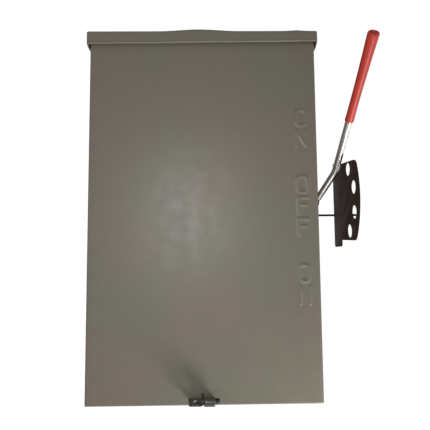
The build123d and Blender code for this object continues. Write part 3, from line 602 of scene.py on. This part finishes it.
HEM_WAVES = ((0.22 * MM, 34.0, 0.9), (0.12 * MM, 81.0, 0.0))   # height, pitch, phase


def swell(offset, half):
    """A smooth hump, 1 in the middle and 0 beyond half."""
    return math.cos(min(abs(offset) / half, 1.0) * math.pi / 2) ** 2


def lip_level(x):
    """Height of the hood's lower edge at x."""
    return HOOD_TOP - LIP_H + LIP_LIFT + LIP_SLOPE * x


def make_hood():
    """Rain hood: folded roof and skirts, a rolled lip and a shallow crown at the front."""
    low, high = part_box("top_hood")
    front = low.y
    half_w = high.x
    hub_low, hub_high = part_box("hub_gasket")
    hub = (hub_low + hub_high) / 2
    x_lines = merged(bend_lines(-half_w, 1, HOOD_BEND), bend_lines(half_w, -1, HOOD_BEND),
                     steps(-half_w + HOOD_BEND, half_w - HOOD_BEND, HOOD_GRID))
    y_lines = merged(bend_lines(front, 1, HOOD_BEND),
                     steps(front + HOOD_BEND, front + CROWN_DEPTH, FINE_GRID),
                     steps(front + CROWN_DEPTH, high.y, HOOD_GRID))
    drops = merged(bend_lines(0.0, 1, HOOD_BEND), steps(HOOD_BEND, LIP_H - HEM_R, FINE_GRID))
    box_low = Vector((-half_w, front, -1.0))
    box_high = Vector((half_w, 1.0, HOOD_TOP))

    def shaped(x, y, z):
        point = rounded(Vector((x, y, z)), box_low, box_high, HOOD_BEND)
        depth = swell(point.y - front, CROWN_DEPTH)
        roof = max(1 - (HOOD_TOP - point.z) / ROOF_FADE, 0.0)
        rise = CROWN_RISE * swell(point.x - CROWN_X, CROWN_HALF)
        rise += DENT_RISE * swell(point.x - DENT_X, DENT_HALF)
        point.z += rise * depth * roof
        return point

    def stretch(x):
        return (HOOD_TOP - HEM_R - lip_level(x)) / drops[-1]

    def over_hub(row, column):
        x = (x_lines[column] + x_lines[column + 1]) / 2
        y = (y_lines[row] + y_lines[row + 1]) / 2
        return math.hypot(x - hub.x, y - hub.y) < HUB_OPENING_R + HUB_GAP

    vertices = [shaped(x, y, HOOD_TOP) for y in y_lines for x in x_lines]
    faces = grid_faces(len(y_lines), len(x_lines), 0, over_hub)
    faces += grid_faces(len(drops), len(x_lines), len(vertices))
    vertices += [shaped(x, front, HOOD_TOP - drop * stretch(x)) for drop in drops
                 for x in x_lines]
    for side in (-1, 1):
        faces += grid_faces(len(drops), len(y_lines), len(vertices))
        x = side * half_w
        for drop in drops:
            share = drop / drops[-1]
            for y in y_lines:
                slope = min((y - front) / CORNER_CUT, 1.0)
                extra = slope * (2 - slope) * (lip_level(x) + HEM_R - low.z) * share ** 2
                vertices.append(shaped(x, y, HOOD_TOP - drop * stretch(x) - extra))
    shell = mesh_object("hood_shell", vertices, faces)
    thicken(shell, SHEET, inside=Vector((0, 0, 0)))
    stands_for(shell, "top_hood")
    make_hem(front, half_w)
    ring = arc((hub.x, hub.y), HUB_OPENING_R, 0, 355, 71)
    collar = arc((hub.x, hub.y), HUB_OPENING_R + HUB_COLLAR_W, 0, 355, 71)
    flat = Matrix.Translation((0, 0, HOOD_TOP - SHEET / 2))
    stands_for(stamped_plate("hood_hub_ring", [collar, ring], SHEET, EDGE, flat), "top_hood")


def make_hem(front, half_w):
    """Rolled bead that stiffens the hood's lip and lets rain drip off."""
    back = front + 2 * SHEET
    profile = [(front + 0.2 * MM, HEM_BASE)]
    profile += arc((front + HEM_R - HEM_PINCH, HEM_R), HEM_R, 170, 370, 12)
    profile += [(back, HEM_BASE), (back, HEM_H), (front + SHEET, HEM_H)]
    reach = half_w - HEM_INSET
    vertices = []
    x_lines = steps(-reach, reach, HOOD_GRID)
    for x in x_lines:
        wave = sum(height * math.sin(x * pitch + phase) for height, pitch, phase in HEM_WAVES)
        vertices += [Vector((x, y, lip_level(x) + wave + rise)) for y, rise in profile]
    count = len(profile)
    faces = [tuple(range(count)), tuple(range(len(vertices) - count, len(vertices)))]
    for ring in range(len(x_lines) - 1):
        for k in range(count):
            n = (k + 1) % count
            a = ring * count
            faces.append((a + k, a + n, a + count + n, a + count + k))
    stands_for(mesh_object("hood_hem", vertices, faces), "top_hood", ROUND_CREASE)


# ---------------------------------------------------------------- handle

ROD_R = 6.35 * MM
ROD_ROOT_X = 224.5 * MM
HANDLE_X = 246.0 * MM
ROD_START = 8.0 * MM
ROD_BEND_REACH = 79.0 * MM
ROD_BEND_R = 70.0 * MM
ROD_END = 345.0 * MM
ROOT_RINGS = 8
BEND_RINGS = 16
ROD_SIDES = 48
GRIP_START = 196.0 * MM
GRIP_END = 351.2 * MM
GRIP_LIP_R = 7.75 * MM
GRIP_LIP_ROLL = (1.2 * MM, 1.1 * MM)      # along the rod and outwards
GRIP_WAIST_R = 7.1 * MM
GRIP_LIP_FADE = 22.0 * MM
GRIP_FLARE_R = 8.75 * MM
GRIP_FLARE_FROM = 250.0 * MM
GRIP_FLARE_POWER = 1.3
GRIP_SHOULDER = 3.2 * MM
GRIP_CORNER = (3.0 * MM, 2.4 * MM)
# the dished end: depth below the tip and radius, in millimetres, from the rim to the vent
DISH = ((0.8, 6.0), (2.0, 5.8), (3.0, 5.4), (3.5, 4.8), (3.1, 4.1), (2.3, 3.4), (2.0, 2.8),
        (2.4, 2.3), (3.2, 2.1), (8.0, 2.0))
OUTWARD = Vector((0, -math.cos(THROW), math.sin(THROW)))
ACROSS = Vector((0, math.sin(THROW), math.cos(THROW)))


def on_handle(x, reach):
    """A point of the handle's plane at rest, by its place along X and its reach."""
    return Vector((x, PIVOT.y, PIVOT.z)) + OUTWARD * reach


def make_rod():
    """Chrome rod, cranked outwards from the hub and then straight."""
    turn = math.atan2(HANDLE_X - ROD_ROOT_X, ROD_BEND_REACH)
    lean = Vector((math.sin(turn), 0, 0)) + OUTWARD * math.cos(turn)
    root = on_handle(ROD_ROOT_X, 0.0)
    bend = on_handle(HANDLE_X, ROD_BEND_REACH)
    before = bend - lean * ROD_BEND_R * math.tan(turn / 2)
    centre_x = HANDLE_X - ROD_BEND_R
    tangent_reach = ROD_BEND_REACH + ROD_BEND_R * math.tan(turn / 2)
    start = root + lean * (ROD_START / math.cos(turn))
    rings = [(start, lean, ROD_R)]
    rings += [(start + (before - start) * k / ROOT_RINGS, lean, ROD_R)
              for k in range(1, ROOT_RINGS)]
    for k in range(BEND_RINGS + 1):
        angle = turn * (1 - k / BEND_RINGS)
        point = on_handle(centre_x + ROD_BEND_R * math.cos(angle),
                          tangent_reach - ROD_BEND_R * math.sin(angle))
        rings.append((point, Vector((math.sin(angle), 0, 0)) + OUTWARD * math.cos(angle), ROD_R))
    rings += [(on_handle(HANDLE_X, reach), OUTWARD, ROD_R)
              for reach in steps(tangent_reach + 4 * MM, ROD_END, 12 * MM)]
    stands_for(sweep("rod", rings, ACROSS, sides=ROD_SIDES), "handle_rod", ROUND_CREASE)


def make_grip():
    """Dipped vinyl grip: a sleeve with a rolled lip that flares to a dished, vented end."""
    roll_along, roll_out = GRIP_LIP_ROLL
    outer = [(GRIP_START, ROD_R + 0.05 * MM), (GRIP_START, GRIP_LIP_R - roll_out)]
    outer += [(GRIP_START + roll_along * (1 - math.cos(a)),
               GRIP_LIP_R - roll_out * (1 - math.sin(a))) for a in (0.4, 0.8, 1.2, 1.57)]
    shoulder = GRIP_END - GRIP_SHOULDER
    for reach in steps(GRIP_START + 7 * MM, shoulder, 6 * MM):
        near_lip = math.exp(-(reach - GRIP_START) / GRIP_LIP_FADE)
        flare = max(reach - GRIP_FLARE_FROM, 0.0) / (shoulder - GRIP_FLARE_FROM)
        radius = GRIP_WAIST_R + (GRIP_LIP_R - GRIP_WAIST_R) * near_lip
        radius += (GRIP_FLARE_R - GRIP_WAIST_R) * flare ** GRIP_FLARE_POWER
        outer.append((reach, radius))
    corner_along, corner_in = GRIP_CORNER
    for k in range(1, 7):
        angle = math.radians(15.0 * k)
        outer.append((shoulder + corner_along * math.sin(angle),
                      GRIP_FLARE_R - corner_in * (1 - math.cos(angle))))
    outer += [(GRIP_END - dip * MM, radius * MM) for dip, radius in DISH]
    rings = [(on_handle(HANDLE_X, reach), OUTWARD, radius) for reach, radius in outer]

    def hand_made(index, angle):
        return 1 + 0.006 * math.sin(2 * angle + 0.35 * index) - 0.003 * (1 - math.sin(5 * angle))

    stands_for(sweep("grip", rings, ACROSS, ripple=hand_made), "handle_grip", CAPPED_CREASE)


# ---------------------------------------------------------------- index plate

PLATE_REACH = 96.0 * MM
PLATE_ARC_R = 150.0 * MM
PLATE_ARC_RISE = 8.0 * MM
PLATE_TOP = (75.0 * MM, 73.5 * MM)
PLATE_BOTTOM = (-79.0 * MM, -75.5 * MM)
PLATE_CORNER_R = 18.0 * MM
STRIP_TOP = 81.0 * MM
STRIP_BOTTOM = (-96.0 * MM, -92.0 * MM)
STRIP_CORNER_R = 5.0 * MM
STRIP_Y = (-125.0 * MM, -78.0 * MM)
PLATE_HOLE_R = 12.7 * MM
PLATE_HOLE_CIRCLE = 69.5 * MM
PLATE_HOLE_STEP = math.radians(38.75)
PLATE_HOLES = (-1.5, -0.5, 0.5, 1.5)      # places of the holes, in steps from the middle


def corner_on_arc(ends, sign):
    """Fillet between the plate's curved front edge and a nearly level edge."""
    centre_u = PLATE_ARC_R - PLATE_REACH
    inner = PLATE_ARC_R - PLATE_CORNER_R
    v = ends[1] - sign * PLATE_CORNER_R
    u = centre_u - math.sqrt(inner ** 2 - (v - PLATE_ARC_RISE) ** 2)
    away = math.degrees(math.atan2(v - PLATE_ARC_RISE, u - centre_u)) % 360
    return (u, v), away


def make_index_plate():
    """Padlocking plate: curved front edge, four holes and a strip down its back."""
    def place(points):
        return [(PIVOT.y + u, PIVOT.z + v) for u, v in points]

    u0 = STRIP_Y[0] - PIVOT.y
    u1 = STRIP_Y[1] - PIVOT.y
    r = STRIP_CORNER_R
    top_centre, top_angle = corner_on_arc(PLATE_TOP, 1)
    low_centre, low_angle = corner_on_arc(PLATE_BOTTOM, -1)
    outline = arc((u0 + r, STRIP_BOTTOM[1] + r), r, 180, 270, 6)
    outline += arc((u1 - r, STRIP_BOTTOM[0] + r), r, 270, 360, 6)
    outline += arc((u1 - r, STRIP_TOP - r), r, 0, 90, 6)
    outline += arc((u0 + r, STRIP_TOP - r), r, 90, 180, 6)
    outline += [(u0, PLATE_TOP[0])]
    outline += arc(top_centre, PLATE_CORNER_R, 90, top_angle, 10)
    outline += arc((PLATE_ARC_R - PLATE_REACH, PLATE_ARC_RISE), PLATE_ARC_R, top_angle,
                   low_angle, 40)[1:-1]
    outline += arc(low_centre, PLATE_CORNER_R, low_angle, 270, 10)
    outline += [(u0, PLATE_BOTTOM[0])]
    outlines = [place(outline)]
    for half_steps in PLATE_HOLES:
        angle = half_steps * PLATE_HOLE_STEP
        centre = (-PLATE_HOLE_CIRCLE * math.cos(angle), PLATE_HOLE_CIRCLE * math.sin(angle))
        outlines.append(place(arc(centre, PLATE_HOLE_R, 0, 354, 59)))
    low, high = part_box("index_plate")
    plate = stamped_plate("index_plate_blank", outlines, high.x - low.x, EDGE,
                          side_on((low.x + high.x) / 2))
    stands_for(plate, "index_plate")


# ---------------------------------------------------------------- knob

FLUTES = 20
FLUTE_DEPTH = 0.03              # over the knob's radius
BOLT_R = 3.2 * MM
# share of the knob's length and share of its radius, from the barrel to the outer end
KNOB_PROFILE = ((0.0, 0.9), (0.05, 1.0), (0.45, 1.0), (0.5, 0.93), (0.56, 1.0), (0.86, 1.0),
                (0.95, 0.9), (1.0, 0.72), (1.0, 0.3), (0.97, 0.22))


def make_knob():
    """Fluted black knob on the slide bolt."""
    low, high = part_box("latch_knob")
    middle = (low + high) / 2
    radius = (high.z - low.z) / 2
    length = high.x - low.x
    profile = [(0.0, BOLT_R)] + [(share, radius * part) for share, part in KNOB_PROFILE]
    rings = [(Vector((low.x + share * length, middle.y, middle.z)), Vector((1, 0, 0)), r)
             for share, r in profile]

    def fluted(index, angle):
        depth = FLUTE_DEPTH if 2 <= index <= 6 else 0.0
        return 1 - depth * (1 - math.cos(FLUTES * angle)) / 2

    knob = sweep("bolt_knob", rings, Vector((0, 0, 1)), sides=FLUTES * 6, ripple=fluted)
    stands_for(knob, "latch_knob", ROUND_CREASE)


# ---------------------------------------------------------------- kept CAD nodes

SOFTENING = {
    "enclosure_paint": 0.5 * MM,
    "plate_paint": 0.4 * MM,
    "hub_casting": 0.8 * MM,
    "base_phenolic": 0.7 * MM,
    "crossbar_polyester": 0.6 * MM,
    "lug_aluminium": 0.5 * MM,
}
PLAIN_SOFTENING = 0.25 * MM
FLAT_WITHIN = 0.3             # degrees between triangles that are one flat face


def dress_cad_nodes():
    """Each CAD node gets its finish and softened edges; the latch parts get a darkened copy of the enclosure paint
    as painted shade.
    """
    for node, obj in frame["nodes"].items():
        slot = SLOT_OF[node]
        obj.data.materials.clear()
        obj.data.materials.append(MATERIALS[FINISH_AND_PAINTED_SHADE_OF[node]])
        weld = obj.modifiers.new("weld", "WELD")
        weld.merge_threshold = SAME_POINT
        flatten = obj.modifiers.new("flatten", "DECIMATE")
        flatten.decimate_type = "DISSOLVE"
        flatten.angle_limit = math.radians(FLAT_WITHIN)
        bevel(obj, SOFTENING.get(slot, PLAIN_SOFTENING))


# ---------------------------------------------------------------- stage

FLOOR_DROP = 0.85
FLOOR_R = 1.25


def make_stage():
    """Round pale floor well below the wall-hung box."""
    level = CAD_BOX[0][2] - FLOOR_DROP
    rim = arc((0.0, 0.0), FLOOR_R, 0, 357, 119)
    floor = mesh_object("floor", [(x, y, level) for x, y in rim], [tuple(range(len(rim)))])
    m = Nodes("pale_floor", 0.9, specular=0.1)
    m.link(m.ramp(m.noise(2.0), (0.0, 0.84), (1.0, 0.9)), m.shader.inputs["Base Color"])
    floor.data.materials.append(m.material)


def area_light(name, place, target, size, power, colour, spread=180.0):
    """A soft rectangular light aimed at a point."""
    data = bpy.data.lights.new(name, "AREA")
    data.shape = "RECTANGLE"
    data.size, data.size_y = size
    data.energy = power
    data.color = colour
    data.spread = math.radians(spread)
    light = new_object(name, data)
    light.location = place
    light.rotation_euler = (Vector(target) - Vector(place)).to_track_quat("-Z", "Y").to_euler()


KEY_POWER = 1.75
KEY_PLACE = (-0.066, -0.973, 0.0)
KEY_AIM = (-0.028, -0.228, -0.004)
KEY_SIZE = (0.12, 0.3)
KEY_TINT = (1.0, 1.0, 0.98)
LOW_POWER = 6.3
LOW_PLACE = (0.57, -0.465, -0.98)
LOW_AIM = (0.0, -0.24, -0.32)
LOW_SIZE = (0.34, 0.34)
LOW_TINT = (1.0, 0.93, 0.88)
LOW_SPREAD = 120.0            # keeps the low lamp's light off the floor
ROOM_DIM = 0.37
ROOM_SPLIT = (0.45, 0.75)      # where the room ends and the full backdrop starts
BACKDROP = 1.06
BACKDROP_TURN = math.radians(22.0)    # the backdrop wraps round the right-hand side


def make_lights():
    """White backdrop, dimmer room in front, a soft lamp by the camera and a low lamp."""
    world = bpy.data.worlds.new("studio")
    bpy.context.scene.world = world
    world.use_nodes = True
    tree = world.node_tree
    direction = tree.nodes.new("ShaderNodeTexCoord").outputs["Generated"]
    mapping = tree.nodes.new("ShaderNodeMapping")
    mapping.inputs["Scale"].default_value = (0.5, 0.5, 0.5)
    mapping.inputs["Location"].default_value = (0.5, 0.5, 0.5)
    mapping.inputs["Rotation"].default_value = (0.0, 0.0, BACKDROP_TURN)
    split = tree.nodes.new("ShaderNodeSeparateXYZ")
    ramp = tree.nodes.new("ShaderNodeValToRGB")
    ramp.color_ramp.elements[0].position = ROOM_SPLIT[0]
    ramp.color_ramp.elements[0].color = (ROOM_DIM, ROOM_DIM, ROOM_DIM, 1.0)
    ramp.color_ramp.elements[1].position = ROOM_SPLIT[1]
    ramp.color_ramp.elements[1].color = (1.0, 1.0, 1.0, 1.0)
    background = tree.nodes["Background"]
    background.inputs["Strength"].default_value = BACKDROP
    tree.links.new(direction, mapping.inputs["Vector"])
    tree.links.new(mapping.outputs["Vector"], split.inputs["Vector"])
    tree.links.new(split.outputs["Y"], ramp.inputs["Fac"])
    tree.links.new(ramp.outputs["Color"], background.inputs["Color"])
    area_light("key", KEY_PLACE, KEY_AIM, KEY_SIZE, KEY_POWER, KEY_TINT)
    area_light("low_right", LOW_PLACE, LOW_AIM, LOW_SIZE, LOW_POWER, LOW_TINT, LOW_SPREAD)


CAMERA_GAP = 0.7453
CAMERA_X = 0.01075
CAMERA_Z = -0.0075
YAW = 0.0135
PITCH = 0.0849
ROLL = -0.0085
LENS = 35.0
SENSOR = 36.0
SHIFT_Y = -0.0797


def make_camera():
    """Camera in front of the cover, tilted slightly up."""
    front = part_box("front_cover")[0].y + LETTER_RISE
    data = bpy.data.cameras.new("camera")
    data.lens = LENS
    data.sensor_width = SENSOR
    data.shift_y = SHIFT_Y
    camera = new_object("camera", data)
    camera.location = (CAMERA_X, front - CAMERA_GAP, CAMERA_Z)
    level = Matrix.Rotation(-YAW, 3, "Z") @ Matrix.Rotation(math.pi / 2 + PITCH, 3, "X")
    camera.rotation_euler = (level @ Matrix.Rotation(ROLL, 3, "Z")).to_euler()
    bpy.context.scene.camera = camera
    bpy.context.scene.view_settings.view_transform = "Standard"


make_camera()
make_lights()
make_stage()
dress_cad_nodes()
make_cover()
make_hood()
make_rod()
make_grip()
make_index_plate()
make_knob()
